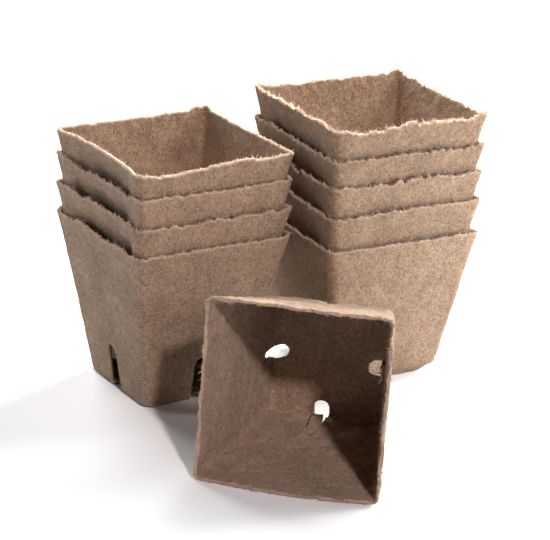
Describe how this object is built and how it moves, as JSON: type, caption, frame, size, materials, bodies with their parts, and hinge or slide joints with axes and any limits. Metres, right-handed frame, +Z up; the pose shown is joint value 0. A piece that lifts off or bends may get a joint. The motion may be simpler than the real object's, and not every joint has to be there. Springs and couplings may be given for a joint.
{
  "type": "peat pots",
  "caption": "Square tapered seedling pots of pressed peat fibre with drain slots, nested in stacks, with a loose pot lying on its side.",
  "frame": {"origin": "on the table, under the middle of the two stacks and the loose pot together", "axes": "+Z up; X and Y run along the sides of the left stack, the right stack stands towards +X, and the loose pot lies towards -Y with its mouth facing -X and -Y"},
  "size_m": [0.1762, 0.196, 0.1296],
  "materials": {
    "peat_fibre": "rough pressed fibre, matt"
  },
  "bodies": {
    "left_pot_1": {"left_pot_1": "peat_fibre"},
    "left_pot_2": {"left_pot_2": "peat_fibre"},
    "left_pot_3": {"left_pot_3": "peat_fibre"},
    "left_pot_4": {"left_pot_4": "peat_fibre"},
    "right_pot_1": {"right_pot_1": "peat_fibre"},
    "right_pot_2": {"right_pot_2": "peat_fibre"},
    "right_pot_3": {"right_pot_3": "peat_fibre"},
    "right_pot_4": {"right_pot_4": "peat_fibre"},
    "right_pot_5": {"right_pot_5": "peat_fibre"},
    "loose_pot": {"loose_pot": "peat_fibre"}
  },
  "joints": [
    {"name": "lift_left_pot_2", "type": "slide", "parent": "left_pot_1", "child": "left_pot_2", "axis": [0, 0, 1], "range_m": [0, 0.08]},
    {"name": "lift_left_pot_3", "type": "slide", "parent": "left_pot_2", "child": "left_pot_3", "axis": [0, 0, 1], "range_m": [0, 0.08]},
    {"name": "lift_left_pot_4", "type": "slide", "parent": "left_pot_3", "child": "left_pot_4", "axis": [0, 0, 1], "range_m": [0, 0.08]},
    {"name": "lift_right_stack", "type": "slide", "parent": "left_pot_1", "child": "right_pot_1", "axis": [0, 0, 1], "range_m": [0, 0.08]},
    {"name": "lift_right_pot_2", "type": "slide", "parent": "right_pot_1", "child": "right_pot_2", "axis": [0, 0, 1], "range_m": [0, 0.08]},
    {"name": "lift_right_pot_3", "type": "slide", "parent": "right_pot_2", "child": "right_pot_3", "axis": [0, 0, 1], "range_m": [0, 0.08]},
    {"name": "lift_right_pot_4", "type": "slide", "parent": "right_pot_3", "child": "right_pot_4", "axis": [0, 0, 1], "range_m": [0, 0.08]},
    {"name": "lift_right_pot_5", "type": "slide", "parent": "right_pot_4", "child": "right_pot_5", "axis": [0, 0, 1], "range_m": [0, 0.08]},
    {"name": "lift_loose_pot", "type": "slide", "parent": "left_pot_1", "child": "loose_pot", "axis": [0, 0, 1], "range_m": [0, 0.08]}
  ]
}
